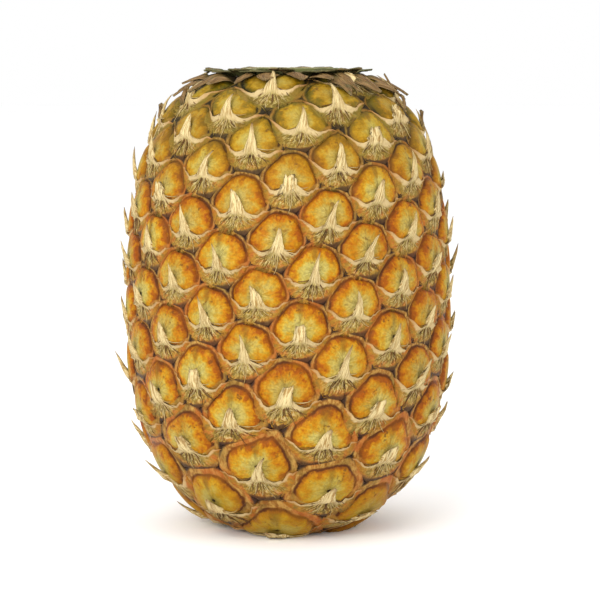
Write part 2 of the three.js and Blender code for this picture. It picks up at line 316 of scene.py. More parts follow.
def rind_mesh():
    border, lifts, edges = cell_edges()
    points = [skin_point(border[:, 0], border[:, 1], lifts)]
    count = len(border)
    faces, marks, outlines = [], [], []
    for cell, ring in enumerate(cell_rings):
        walk = []
        for one, two in zip(ring, np.roll(ring, -1)):
            inner = edges[(min(one, two), max(one, two))]
            walk += [one, *(inner if one < two else inner[::-1])]
        walk = np.array(walk)
        outlines.append(walk)
        if cell >= eye_count:
            continue
        number = eyes["n"][cell]
        reach = local_place(border[walk, 0], border[walk, 1], cell)
        far = np.hypot(reach[:, 0], reach[:, 1])
        full = rounded_reach(far)
        dome_share = DOME_SHARE * eyes["size"][cell] ** -DOME_SHRINK
        spans = np.array([np.ptp(reach[:, 0]) / 2, -reach[:, 1].min()])
        usual = reach * EYE_HALF / spans
        seed = np.full(len(walk), float(draw(number, 23)))
        loops, values = [walk], []
        for share in (1.0, *np.interp(RING_SHARES, (0, DOME_SHARE, 1), (0, dome_share, 1))):
            x, y = (usual * share).T
            rho = far * share / (full * dome_share)
            values.append(np.stack([x / 10, y / 10, rho, seed, depth_in_bract(x, y) / 10,
                                    far / full * share], -1))
            if share == 1.0:
                continue
            s = eyes["s"][cell] + reach[:, 1] * share
            turn = eyes["turn"][cell] + reach[:, 0] * share / at("s", s, "r")
            points.append(skin_point(turn, s, dome_lift(x, y, rho, share, number)))
            loops.append(np.arange(count, count + len(walk)))
            count += len(walk)
        centre = np.zeros(1)
        lift = dome_lift(centre, centre, centre, 0.0, number)
        points.append(skin_point(eyes["turn"][cell : cell + 1], eyes["s"][cell : cell + 1], lift))
        values.append([[0.0, 0.0, 0.0, seed[0], -WING_ROOT_DOWN / 10, 0.0]])
        numbers = np.concatenate([*loops, [count]])
        values = np.vstack(values)
        count += 1
        for face in rings_to_middle(len(loops), len(walk)):
            faces.append(numbers[face].tolist())
            marks.append(values[face])

    # The seats of the crown and of the stalk: a wall in from the skin, and a floor
    for seat in seat_edges:
        walk = outlines[seat]
        wall = np.vstack(points)[walk]
        is_crown = seat == eye_count
        floor = wall[:, 2].mean() - CROWN_SEAT_DEPTH if is_crown else STALK_SEAT_HEIGHT
        wall[:, :2] *= SEAT_NARROWING
        wall[:, 2] = floor
        points += [wall, np.array([[0, 0, floor]])]
        numbers = np.concatenate([walk, np.arange(count, count + len(walk) + 1)])
        count += len(walk) + 1
        for face in rings_to_middle(2, len(walk)):
            faces.append(numbers[face].tolist())
            marks.append(np.tile(SEAT_MARKS, (len(face), 1)))
    vertices = np.vstack(points)
    vertices[:, 2] = np.maximum(vertices[:, 2], 0.0)
    return vertices, faces, np.vstack(marks)


def in_scene(name, data):
    made = bpy.data.objects.new(name, data)
    bpy.context.scene.collection.objects.link(made)
    return made


def new_piece(name, vertices, faces):
    """A mesh object in metres from points in millimetres."""
    mesh = bpy.data.meshes.new(name)
    mesh.from_pydata((np.asarray(vertices) * MM).tolist(), [], faces)
    mesh.validate()
    mesh.shade_smooth()
    return in_scene(name, mesh)


def corner_map(mesh, name, values):
    layer = mesh.uv_layers.new(name=name)
    layer.uv.foreach_set("vector", values.astype(np.float32).ravel())


def point_values(mesh, name, values, kind="FLOAT"):
    layer = mesh.attributes.new(name, kind, "POINT")
    layer.data.foreach_set("value", np.asarray(values, np.int32 if kind == "INT" else np.float32))


class Wire:
    """What a node gives out. A sum, a difference or a product of wires is a node of its own."""

    def __init__(self, socket):
        self.socket = socket
        self.tree = socket.id_data

    def __add__(self, other):
        return maths("ADD", self, other)

    def __sub__(self, other):
        return maths("SUBTRACT", self, other)

    def __rsub__(self, other):
        return maths("SUBTRACT", other, self)

    def __mul__(self, other):
        return maths("MULTIPLY", self, other)


def feed(socket, value):
    """Gives an input of a node a wire or a plain value."""
    if isinstance(value, Wire):
        value.tree.links.new(value.socket, socket)
    else:
        socket.default_value = value


def node(tree, kind, inputs=None, **settings):
    """A node with its settings, its values and its wires made in one go."""
    made = tree.nodes.new(kind)
    for key, value in settings.items():
        setattr(made, key, value)
    for key, value in (inputs or {}).items():
        feed(made.inputs[key], value)
    return made


def wire(tree, kind, inputs=None, give=0, **settings):
    """What a new node gives out."""
    return Wire(node(tree, kind, inputs, **settings).outputs[give])


def tree_of(values):
    return next(value.tree for value in values if isinstance(value, Wire))


def maths(operation, *values):
    return wire(tree_of(values), "ShaderNodeMath", dict(enumerate(values)), operation=operation)


def vector_of(*values):
    return wire(tree_of(values), "ShaderNodeCombineXYZ", dict(enumerate(values)))


def parts_of(vector):
    outputs = node(vector.tree, "ShaderNodeSeparateXYZ", {0: vector}).outputs
    return [Wire(output) for output in outputs]


def paint(red, green, blue):
    """A colour as seen in studio light, where 255 is white, as the one that a material takes."""
    seen = np.array([red, green, blue]) / 255
    linear = np.where(seen <= 0.04045, seen / 12.92, ((seen + 0.055) / 1.055) ** 2.4)
    return (*(linear / STUDIO_LIGHT).tolist(), 1.0)


def blend(share, first, second, mode="MIX"):
    return wire(tree_of((share, first, second)), "ShaderNodeMix", {0: share, 6: first, 7: second},
                2, data_type="RGBA", blend_type=mode)


def shaded(tone, value):
    """A colour made lighter or darker by a factor."""
    return blend(1.0, tone, vector_of(value, value, value), "MULTIPLY")


def spread(value, low, high, out_low=0.0, out_high=1.0):
    """A value from one range to another, with soft ends."""
    inputs = {0: value, 1: low, 2: high, 3: out_low, 4: out_high}
    return wire(value.tree, "ShaderNodeMapRange", inputs, interpolation_type="SMOOTHSTEP")


def ramp(value, stops):
    made = node(value.tree, "ShaderNodeValToRGB", {0: value})
    band = made.color_ramp
    while len(band.elements) < len(stops):
        band.elements.new(0.5)
    for element, (place, colour) in zip(band.elements, stops):
        element.position = place
        element.color = colour
    return Wire(made.outputs[0])


def grain(vector, scale, detail=3.0, roughness=0.55):
    inputs = {"Vector": vector, "Scale": scale, "Detail": detail, "Roughness": roughness}
    return wire(vector.tree, "ShaderNodeTexNoise", inputs)


def map_parts(tree, name):
    """The two values that a UV map holds."""
    return parts_of(wire(tree, "ShaderNodeUVMap", uv_map=name))[:2]


def value_of(tree, name):
    return wire(tree, "ShaderNodeAttribute", give="Fac", attribute_name=name)


def from_axis(parts):
    """The distance from the fruit's axis."""
    flat = vector_of(parts[0], parts[1], 0.0)
    return wire(flat.tree, "ShaderNodeVectorMath", {0: flat}, "Value", operation="LENGTH")


def new_finish(name, roughness, specular):
    """A material, its node tree and the place on the piece."""
    material = bpy.data.materials.new(name)
    material.use_nodes = True
    tree = material.node_tree
    shader = tree.nodes["Principled BSDF"]
    shader.inputs["Roughness"].default_value = roughness
    shader.inputs["Specular IOR Level"].default_value = specular
    return material, tree, wire(tree, "ShaderNodeTexCoord", give="Object")


def dress(material, tone, relief=None, strength=0.0, distance=0.0):
    """Gives a material its colour, and fine relief where it has any."""
    tree = material.node_tree
    shader = tree.nodes["Principled BSDF"]
    feed(shader.inputs["Base Color"], tone)
    if relief:
        inputs = {"Strength": strength, "Distance": distance, "Height": relief}
        feed(shader.inputs["Normal"], wire(tree, "ShaderNodeBump", inputs))
    return material


def fleshy_base(across, down, seed, height):
    """The colour of a bract's fleshy base, by the place below the root of its point, and the
    threads that fan out from that root. The rind round the bract has the same colour."""
    bearing = maths("ARCTAN2", across, down)
    far = maths("SQRT", across * across + down * down)
    own = seed * 53.0
    spot = vector_of(across, down, own)
    fan = vector_of(grain(spot, 3.0, 2.0) * 0.7 + bearing, far * 0.42, own)
    thread = grain(fan, 13.0, 3.0, 0.65)
    cloud = grain(spot, 4.5, 3.0)
    tone = ramp(cloud * 0.5 + (far - 0.25), [
        (0.0, paint(230, 206, 128)), (0.26, paint(212, 184, 94)), (0.5, paint(200, 164, 70)),
        (0.74, paint(204, 148, 50)), (1.0, paint(194, 124, 34))])
    blush = spread(cloud, 0.5, 0.64) * spread(far, 0.3, 0.6) * 0.5
    tone = blend(blush, tone, paint(218, 116, 52))
    drab = spread(cloud, 0.47, 0.34) * spread(far, 0.2, 0.5) * 0.55
    tone = blend(drab, tone, paint(146, 124, 56))
    tone = shaded(tone, spread(thread, 0.3, 0.7, 0.8, 1.16))
    top = spread(height, 0.112, 0.16)
    tone = blend(top * spread(far, 0.1, 0.7) * 0.75, tone, paint(146, 132, 48))
    in_fan = spread(far, 1.05, 0.35) * spread(far, 0.0, 0.12)
    narrow = spread(maths("ABSOLUTE", bearing), 1.7, 0.8)
    dark = spread(thread, 0.5, 0.42) * in_fan * narrow * 0.8
    tone = blend(dark, tone, paint(104, 74, 36))
    pale = spread(thread, 0.53, 0.6) * in_fan * spread(far, 0.95, 0.35) * 0.9
    return blend(pale, tone, paint(246, 222, 158)), thread


def rind_finish():
    material, tree, where = new_finish("waxy_rind", 0.5, 0.11)
    parts = parts_of(where)
    height = parts[2]
    across, up = map_parts(tree, "eye_place")
    rho, seed = map_parts(tree, "eye_state")
    own = seed * 41.0
    bearing = maths("ARCTAN2", across, up)
    streak = grain(vector_of(bearing, rho * 0.34, own), 7.0, 4.0, 0.65)
    mottle = grain(where, 260.0, 4.0, 0.6)
    patch = grain(where, 90.0, 2.0)
    fine = grain(where, 1100.0, 2.0)

    # Cream round the middle, deep orange at the rim
    shifted = rho + spread(mottle, 0.3, 0.7, -0.24, 0.22) + spread(streak, 0.3, 0.7, -0.08, 0.08)
    tone = ramp(shifted, [
        (0.0, paint(222, 204, 132)), (0.34, paint(220, 192, 102)), (0.52, paint(222, 174, 58)),
        (0.68, paint(222, 153, 22)), (0.84, paint(214, 134, 8)), (0.95, paint(184, 98, 8))])
    streaks = spread(streak, 0.5, 0.62) * spread(rho, 0.72, 0.22) * 0.5
    tone = blend(streaks, tone, paint(244, 226, 156))
    dull = spread(streak, 0.48, 0.36) * spread(rho, 0.85, 0.3) * 0.45
    tone = blend(dull, tone, paint(160, 124, 52))
    tone = shaded(tone, spread(fine, 0.25, 0.75, 0.8, 1.14))

    # Greener towards the crown, more olive by the floor, and each eye has its own tint
    top = spread(height, 0.118, 0.166)
    tone = blend(top * 0.55, tone, paint(188, 152, 30))
    green = top * spread(shifted, 0.45, 0.95) * 0.85
    tone = blend(green, tone, paint(112, 104, 26))
    tone = blend(spread(height, 0.04, 0.008) * 0.55, tone, paint(186, 148, 30))
    tint = spread(seed, 0.0, 1.0, 0.84, 1.06) + spread(patch, 0.35, 0.65, -0.06, 0.06)
    tints = vector_of(maths("POWER", tint, 0.5), tint, maths("POWER", tint, 1.6) * 0.75)
    tone = blend(1.0, tone, tints, "MULTIPLY")

    # Brown scars near the top of the dome, the seam between two sepals, and the pit
    scars = spread(grain(where, 420.0, 2.0), 0.6, 0.7) * spread(up, 0.05, 0.5) * 0.75
    tone = blend(scars, tone, paint(118, 72, 26))
    seam = spread(maths("ABSOLUTE", bearing), 0.3, 0.04) * spread(rho, 0.25, 0.6)
    tone = blend(seam * spread(seed, 0.3, 0.7) * 0.55, tone, paint(132, 96, 30))
    pit = spread(rho, 0.1, 0.04) * spread(seed, 0.6, 0.75)
    tone = blend(pit, tone, paint(72, 50, 28))

    # The furrow round the dome is brown, partly its own colour and partly painted shade in the
    # hollow, and fades in places
    wobble = rho + spread(mottle, 0.3, 0.7, -0.025, 0.025)
    rim_tone = blend(top, paint(160, 84, 12), paint(92, 88, 28))
    tone = blend(spread(wobble, 0.85, 0.95) * 0.5, tone, rim_tone)
    furrow_brown_and_shade_tone = blend(top, paint(104, 54, 16), paint(54, 52, 22))
    furrow_brown_and_shade = spread(wobble, 0.935, 0.985) * spread(patch, 0.4, 0.6, 1.0, 0.45)
    tone = blend(furrow_brown_and_shade, tone, furrow_brown_and_shade_tone)

    # Beyond the furrow is a fibrous collar, and below the bract's upper edge its fleshy base
    depth, share = map_parts(tree, "eye_body")
    base_tone = fleshy_base(across, -WING_ROOT_DOWN / 10 - up, seed, height)[0]
    fibrous = grain(vector_of(across * 6.0, up * 2.6, own), 1.5, 5.0, 0.7)
    collar = blend(spread(fibrous, 0.36, 0.64), paint(158, 98, 30), paint(226, 174, 88))
    collar = blend(spread(patch, 0.48, 0.6) * 0.6, collar, paint(212, 110, 40))
    collar = blend(spread(patch, 0.46, 0.36) * 0.5, collar, paint(140, 112, 46))
    collar = blend(top * 0.7, collar, paint(128, 112, 36))
    ragged = share + spread(mottle, 0.3, 0.7, -0.03, 0.03)
    base_tone = blend(spread(ragged, 0.6, 0.92) * 0.75, base_tone, collar)
    tone = blend(spread(wobble, 1.01, 1.09), tone, collar)
    tone = blend(spread(depth, -0.05, 0.02), tone, base_tone)

    # Painted shade, dark, where three cells meet, and at the foot of each
    corner_painted_shade = spread(ragged, 0.97, 1.07) * 0.95
    foot_painted_shade = spread(ragged, 0.82, 0.96) * spread(up, -0.7, -1.1) * 0.85
    gap = blend(top, paint(52, 32, 28), paint(36, 34, 20))
    tone = blend(maths("MAXIMUM", corner_painted_shade, foot_painted_shade), tone, gap)

    # Painted shade, dark, in the hollows next to the crown
    crown_hollow_shade = spread(patch * 0.006 + from_axis(parts), 0.0345, 0.031)
    tone = blend(crown_hollow_shade * spread(height, 0.1, 0.14) * 0.9, tone, paint(52, 40, 30))
    return dress(material, tone, fine * 0.4 + (streak * 0.9 + mottle), 0.55, 0.0007)


rind_points, rind_faces, rind_marks = rind_mesh()
rind = new_piece("fruit_rind", rind_points, rind_faces)
for column, label in enumerate(MARK_MAPS):
    corner_map(rind.data, label, rind_marks[:, 2 * column : 2 * column + 2])
rind.data.materials.append(rind_finish())
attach(rind, "root")
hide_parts("fruit")


# The bracts
# Every eye grew in the armpit of a small leaf, its bract. The fleshy base of the bract fills the
# lower half of the eye, and its dry upper edge runs out to both sides like a moustache and rises
# in the middle to a papery point, which stands up over the dome.
BLADE_COLUMNS = 36
FRONT_SHARES = (0.0, 0.1, 0.22, 0.36, 0.5, 0.62, 0.74, 0.84, 0.91, 0.96, 1.0)
BACK_SHARES = (0.9, 0.75, 0.5)
POINT_SHARE = 0.32
POINT_FROM = 0.64
POINT_RISE = 6.4
POINT_LIFT = 3.8
BLADE_REACH = 1.1
BASE_REACH = 0.86
BLADE_DEPTH = 12.0
BLADE_THICKNESS = 0.45
ROOT_THICKNESS = 1.8
ROOT_SUNK = 0.4
BLADE_RISE = 0.52
WING_ENDS_FROM = 0.86
RAY_START = 8.0
MERGE_DISTANCE = 0.002
CELL_FOOT_FROM = 0.55
BRACT_GROWTH_LIMIT = 1.25
BRACT_SHORTEST = 0.86
BRACT_LONGEST = 1.1
BRACT_SWAY = 1.5
SHOULDER_LIFT = 0.55
SHOULDER_FROM = 130.0
SHOULDER_RUN = 40.0
WORN_LENGTH = 0.6
WORN_BELOW = 30.0
LOW_FROM = 80.0
LOW_RUN = 30.0
LOW_STAND = 0.3
TORN_BELOW = 60.0
TORN_SHARE = 0.8
TORN_KINDS = (4, 7, 9, 11)
LOWEST_POINT = 0.1
# Of each kind of point: length, width, bluntness, lean, hook, fray, how far it stands out, and
# how far it curls back in
POINT_KINDS = (
    (0.98, 1.0, 1.0, 0.5, 0.0, 0.1, 0.95, 0.0), (0.86, 1.2, 0.7, -0.7, 0.5, 0.3, 0.6, 0.2),
    (0.76, 0.9, 0.9, 1.0, -1.4, 0.1, 0.8, 0.5), (1.02, 0.9, 1.2, -0.3, 0.3, 0.0, 1.05, 0.1),
    (0.62, 1.3, 0.35, 0.2, 0.3, 0.8, 0.5, 0.0), (0.9, 1.0, 1.0, -1.5, 1.6, 0.2, 0.9, 0.6),
    (0.8, 1.15, 0.7, 1.6, -1.5, 0.3, 0.55, 0.2), (0.45, 1.4, 0.3, 0.0, 0.4, 1.0, 0.4, 0.0),
    (0.82, 0.85, 0.9, 0.9, 2.4, 0.1, 0.85, 0.8), (0.68, 1.25, 0.5, -0.9, -0.8, 0.6, 0.55, 0.3),
    (0.92, 0.8, 1.1, 0.2, -1.2, 0.0, 1.0, 0.4), (0.74, 1.1, 0.6, -0.2, 1.0, 0.5, 0.65, 0.1),
)


def rising(value, run):
    """From 0 to 1 while a value goes from 0 to the length of a run."""
    return np.clip(value / run, 0, 1)


def blade_template(kind):
    """One bract laid flat, with x across and z out from the rind, in millimetres. Attributes say
    how far down or up each point is, because the base stretches with the eye and the point
    doesn't."""
    length, width, blunt, lean, hook, fray, stand, curl = POINT_KINDS[kind]
    columns = np.linspace(-1, 1, BLADE_COLUMNS + 1)
    side = np.sign(columns)
    a = np.abs(columns) ** 1.2
    number = np.arange(len(a)) + 50 * kind
    wing = np.clip((a - POINT_SHARE) / (1 - POINT_SHARE), 0, 1)
    along = np.clip(1 - a / POINT_SHARE, 0, 1)
    along = np.minimum(along, 1 - (0.04 + 0.4 * fray) * draw(number, 31))
    half = 0.22 + 1.3 * (1 - along) ** blunt + 1.1 * (1 - along) ** 4
    half = half * width * (1 + (0.15 + 0.6 * fray) * (draw(number, 32) - 0.5))
    half = np.where(a == 0, 0, half)
    root = WING_ROOT * width
    ragged = (draw(number, 33) - 0.5) * np.sin(math.pi * np.clip(wing * 1.05, 0, 1))

    # The dry upper edge, from the end of a wing to the point
    edge_x = np.where(wing > 0, root + (EYE_HALF * BLADE_REACH - root) * wing, half)
    edge_down = wing_down(wing) + 0.7 * ragged
    edge_down = np.where(along > 0, WING_ROOT_DOWN * (1 - along), edge_down)
    edge_rise = POINT_RISE * length * along

    # The lower border, sunk in the rind
    swing = columns * math.pi / 2
    border_x = EYE_HALF * BASE_REACH * np.abs(np.sin(swing))
    border_down = WING_END_DOWN + (BLADE_DEPTH - WING_END_DOWN) * np.cos(swing) ** 0.8
    ridge = draw(number, 34) - 0.5
    points, shares, marks = [], [], []
    for row, v in enumerate(FRONT_SHARES + BACK_SHARES):
        w = v**0.8
        up_point = np.clip((w - POINT_FROM) / (1 - POINT_FROM), 0, 1)
        tip = along * up_point
        x = side * (border_x * (1 - w) + edge_x * w) + lean * tip + hook * tip**3
        down = border_down * (1 - w) + edge_down * w
        lift = BLADE_RISE * min(w / 0.2, 1) - ROOT_SUNK
        lift = lift + 0.3 * ridge * np.sin(math.pi * w) * (1 - a)
        lift = lift + (0.45 + 0.5 * (1 - wing) ** 3 + 1.0 * ragged) * w**4 * (along <= 0)
        curled = (0.3 + 1.1 * curl) * np.clip(tip - 0.35, 0, 1) ** 2
        lift = lift + 0.28 * rising(tip, 0.1) + POINT_LIFT * stand * (tip - curled)
        lift = lift + 0.45 * (1 - w**2) * rising(tip, 0.15)
        lift = lift + 0.25 * (draw(number + 7 * row, 35) - 0.5) * rising(tip, 0.2)
        if row >= len(FRONT_SHARES):
            lift = lift - BLADE_THICKNESS * (1 + 0.6 * rising(tip, 0.1) * (1 - w))
            lift = lift - ROOT_THICKNESS * rising(tip, 0.12) * (1 - tip) ** 2
        ends = rising(a - WING_ENDS_FROM, 1 - WING_ENDS_FROM)
        lift = lift * (1 - ends) - BLADE_THICKNESS * ends
        points.append(np.stack([x, 0 * x, lift], -1))
        shares.append(np.stack([down, edge_rise * up_point, tip, wing**2,
                                (1 - w) * np.cos(swing)], -1))
        marks.append(np.stack([columns / 2 + 0.5, v + 0 * x, x / 10,
                               (down - WING_ROOT_DOWN) / 10], -1))
    faces = quads(len(points), len(columns), rows_close=True)
    return np.vstack(points), faces, np.vstack(shares), np.vstack(marks)


def template_collection(name, made):
    """Templates with their attributes, in a collection that isn't part of the scene."""
    holder = bpy.data.collections.new(name)
    for kind, (points, faces, shares, marks) in enumerate(made):
        mesh = bpy.data.meshes.new(f"{name}_{kind:02d}")
        mesh.from_pydata((points * MM).tolist(), [], faces)
        for column, label in enumerate(("down", "rise", "tip", "end", "deep")):
            scale = MM if label in ("down", "rise") else 1.0
            point_values(mesh, label, shares[:, column] * scale)
        used = np.array([i for face in faces for i in face])
        corner_map(mesh, "blade", marks[used, :2])
        corner_map(mesh, "blade_place", marks[used, 2:])
        mesh.shade_smooth()
        holder.objects.link(bpy.data.objects.new(mesh.name, mesh))
    return holder


def outline_curve():
    """The fruit's outline as a line in the XZ plane, which the laying tree samples by length."""
    curve = bpy.data.curves.new("fruit_outline", "CURVE")
    curve.dimensions = "3D"
    line = curve.splines.new("POLY")
    line.points.add(len(skin["s"]) - 1)
    flat = np.zeros((len(skin["s"]), 4))
    flat[:, 0] = skin["r"] * MM
    flat[:, 2] = skin["z"] * MM
    flat[:, 3] = 1
    line.points.foreach_set("co", flat.ravel())
    return in_scene("fruit_outline", curve)


def laying_tree():
    """Puts a template on each point, bends it round the fruit at that point's turn and station,
    and drapes it over the rind, apart from its free tip."""
    tree = bpy.data.node_groups.new("lay_on_rind", "GeometryNodeTree")
    sockets = {"Geometry": "Geometry", "Templates": "Collection", "Outline": "Object",
               "Rind": "Object", "Finish": "Material", "Lowest height": "Float",
               "Ray start": "Float", "Deepest": "Float"}
    for label, kind in sockets.items():
        tree.interface.new_socket(label, in_out="INPUT", socket_type="NodeSocket" + kind)
    tree.interface.new_socket("Geometry", in_out="OUTPUT", socket_type="NodeSocketGeometry")
    given = {socket.name: Wire(socket) for socket in tree.nodes.new("NodeGroupInput").outputs}
    ray_start = given["Ray start"]

    def stored(name, data_type="FLOAT"):
        return wire(tree, "GeometryNodeInputNamedAttribute", {"Name": name}, data_type=data_type)

    def geometry_of(label):
        return wire(tree, "GeometryNodeObjectInfo", {"Object": given[label]}, "Geometry")

    templates = wire(tree, "GeometryNodeCollectionInfo",
                     {"Collection": given["Templates"], "Separate Children": True,
                      "Reset Children": True})
    placed = wire(tree, "GeometryNodeInstanceOnPoints",
                  {"Points": given["Geometry"], "Instance": templates, "Pick Instance": True,
                   "Instance Index": stored("kind", "INT")})
    real = wire(tree, "GeometryNodeRealizeInstances", {"Geometry": placed})

    spot = parts_of(wire(tree, "GeometryNodeInputPosition"))
    tip = stored("tip")
    is_right = maths("GREATER_THAN", spot[0], 0.0)

    def on_side(name):
        left = stored(name + "_left")
        return (stored(name + "_right") - left) * is_right + left

    across = spot[0] * on_side("wide") + stored("sway") * tip * tip
    across = across + stored("deep") * stored("low_across")
    up = stored("rise") * stored("grow") - stored("down") * stored("low")
    up = up + stored("end") * on_side("side_up")

    # The place on the outline, and the rind's own height there along the outline's normal
    sample = node(tree, "GeometryNodeSampleCurve",
                  {"Curves": geometry_of("Outline"), "Length": stored("station") + up},
                  mode="LENGTH")
    on_line = parts_of(Wire(sample.outputs["Position"]))
    heading = parts_of(Wire(sample.outputs["Tangent"]))
    turn = stored("turn") + maths("DIVIDE", across, on_line[0])
    sine = maths("SINE", turn)
    cosine = maths("COSINE", turn) * -1.0

    def lifted(lift):
        out = heading[2] * lift + on_line[0]
        return vector_of(out * sine, out * cosine, on_line[2] - heading[0] * lift)

    inward = vector_of(heading[2] * sine * -1.0, heading[2] * cosine * -1.0, heading[0])
    ray = node(tree, "GeometryNodeRaycast",
               {"Target Geometry": geometry_of("Rind"), "Source Position": lifted(ray_start),
                "Ray Direction": inward, "Ray Length": ray_start * 2.0})
    relief = maths("MAXIMUM", ray_start - Wire(ray.outputs["Hit Distance"]), given["Deepest"])
    relief = relief * Wire(ray.outputs["Is Hit"]) * (1.0 - tip)
    lie = tip * (stored("stand") - 1.0) + 1.0
    place = parts_of(lifted(spot[2] * lie + relief))
    height = maths("MAXIMUM", place[2], given["Lowest height"])
    moved = wire(tree, "GeometryNodeSetPosition",
                 {"Geometry": real, "Position": vector_of(place[0], place[1], height)})
    plain = wire(tree, "GeometryNodeRealizeInstances", {"Geometry": moved})
    finished = wire(tree, "GeometryNodeSetMaterial",
                    {"Geometry": plain, "Material": given["Finish"]})
    node(tree, "NodeGroupOutput", {"Geometry": finished})
    return tree


def close_shell(mesh):
    """Joins points that fall together and turns all faces outward."""
    shell = bmesh.new()
    shell.from_mesh(mesh)
    bmesh.ops.remove_doubles(shell, verts=shell.verts[:], dist=MERGE_DISTANCE * MM)
    bmesh.ops.recalc_face_normals(shell, faces=shell.faces[:])
    shell.to_mesh(mesh)
    shell.free()
    mesh.shade_smooth()


def lay(name, templates, rows, finish):
    """A piece of templates laid on the rind, one for each row of values, as a plain mesh."""
    mesh = bpy.data.meshes.new(name)
    mesh.from_pydata([(0, 0, 0)] * len(rows["turn"]), [], [])
    for label, values in rows.items():
        point_values(mesh, label, values, "INT" if label == "kind" else "FLOAT")
    seeded = in_scene(name + "_points", mesh)
    layer = seeded.modifiers.new("lay", "NODES")
    layer.node_group = rind_tree
    given = {"Templates": templates, "Outline": outline_line, "Rind": rind, "Finish": finish,
             "Lowest height": LOWEST_POINT * MM, "Ray start": RAY_START * MM,
             "Deepest": CORNER_LIFT * MM}
    for item in rind_tree.interface.items_tree:
        if item.in_out == "INPUT" and item.name in given:
            layer[item.identifier] = given[item.name]
    bpy.context.view_layer.update()
    graph = bpy.context.evaluated_depsgraph_get()
    plain = bpy.data.meshes.new_from_object(seeded.evaluated_get(graph), depsgraph=graph)
    seeded.modifiers.remove(layer)
    bpy.data.objects.remove(seeded)
    bpy.data.meshes.remove(mesh)
    for template in list(templates.objects):
        template_mesh = template.data
        bpy.data.objects.remove(template)
        bpy.data.meshes.remove(template_mesh)
    bpy.data.collections.remove(templates)
    plain.name = name
    made = in_scene(name, plain)
    close_shell(plain)
    return made


def bract_finish():
    material, tree, where = new_finish("dry_bract", 0.66, 0.15)
    u, v = map_parts(tree, "blade")
    across, down = map_parts(tree, "blade_place")
    tip, seed = value_of(tree, "tip"), value_of(tree, "seed")
    tone, thread = fleshy_base(across, down, seed, parts_of(where)[2])

    # The dry margin is cream near the point and thins out to brown along the wings
    cloud = grain(where, 420.0, 3.0)
    outward = maths("ABSOLUTE", u - 0.5)
    margin = v + spread(cloud, 0.3, 0.7, -0.07, 0.07) - spread(outward, 0.14, 0.36, 0.0, 0.14)
    dry = blend(spread(outward, 0.26, 0.47), paint(256, 226, 164), paint(214, 152, 84))
    tone = blend(spread(margin, 0.5, 0.7) * 0.95, tone, dry)

    # The papery point, streaked along its length
    streak = grain(vector_of(u * 46.0, tip * 1.6, seed * 53.0), 1.5, 4.0, 0.65)
    papery = blend(spread(streak, 0.4, 0.55), paint(204, 160, 88), paint(280, 254, 186))
    browned = spread(tip, 0.55, 1.0) * spread(seed, 0.25, 0.8, 0.2, 0.9)
    papery = blend(browned, papery, paint(150, 106, 60))
    tone = blend(spread(tip, 0.0, 0.14) * 0.95, tone, papery)
    relief = blend(spread(tip, 0.0, 0.1), thread, streak) + cloud * 0.5
    return dress(material, tone, relief, 0.7, 0.0008)


def cell_shapes():
    """How far each eye's cell reaches left and right, how high it ends on each side, how far
    down it reaches, and how far across its foot lies, in millimetres."""
    shapes = []
    for cell in range(eye_count):
        ring = cell_rings[cell]
        reach = local_place(corner_turn[ring], corner_s[ring], cell)
        left, right = reach[reach[:, 0].argmin()], reach[reach[:, 0].argmax()]
        low = reach[:, 1].min()
        foot = reach[reach[:, 1] < CELL_FOOT_FROM * low, 0].mean()
        shapes.append([-left[0], right[0], left[1], right[1], -low, foot])
    return np.array(shapes).T


left_wide, right_wide, left_up, right_up, low_reach, low_middle = cell_shapes()
worn = WORN_LENGTH + (1 - WORN_LENGTH) * rising(eyes["height"], WORN_BELOW)
bract_size = BRACT_SHORTEST + (BRACT_LONGEST - BRACT_SHORTEST) * draw(eyes["n"], 3)
bract_grow = np.minimum(eyes["size"], BRACT_GROWTH_LIMIT) * worn * bract_size
on_shoulder = rising(eyes["height"] - SHOULDER_FROM, SHOULDER_RUN)
low_down = rising(LOW_FROM - eyes["height"], LOW_RUN)
is_torn = (eyes["height"] < TORN_BELOW) & (draw(eyes["n"], 38) < TORN_SHARE)
torn_kind = np.array(TORN_KINDS)[(draw(eyes["n"], 39) * len(TORN_KINDS)).astype(int)]
any_kind = np.floor(draw(eyes["n"], 37) * len(POINT_KINDS)).astype(int)
eye_rows = {
    "turn": eyes["turn"],
    "station": eyes["s"] * MM,
    "wide_left": left_wide / EYE_HALF,
    "wide_right": right_wide / EYE_HALF,
    "side_up_left": left_up * MM,
    "side_up_right": right_up * MM,
    "low": low_reach / EYE_HALF,
    "low_across": low_middle * MM,
    "grow": bract_grow,
    "stand": bract_grow * (1 + (SHOULDER_LIFT - 1) * on_shoulder) * (1 + LOW_STAND * low_down),
    "sway": BRACT_SWAY * MM * (2 * draw(eyes["n"], 4) - 1),
    "seed": draw(eyes["n"], 23),
    "kind": np.where(is_torn, torn_kind, any_kind),
}
outline_line = outline_curve()
rind_tree = laying_tree()
blades = template_collection("bract_blade", map(blade_template, range(len(POINT_KINDS))))
bracts = lay("bracts", blades, eye_rows, bract_finish())
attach(bracts, "root")


# The fibres of the bracts
# Dry threads fan down from the root of each point over the bract's base. Some have come loose at
# their ends, and they are cream or dark brown.
FIBRE_KINDS = 8
FIBRES_EACH = 14
FIBRE_STEPS = 6
FIBRE_HALF = 0.16
FIBRE_SHORTEST = 4.2
FIBRE_LENGTHS = 5.2
FAN_FROM = -1.35
FAN_WIDTH = 2.7


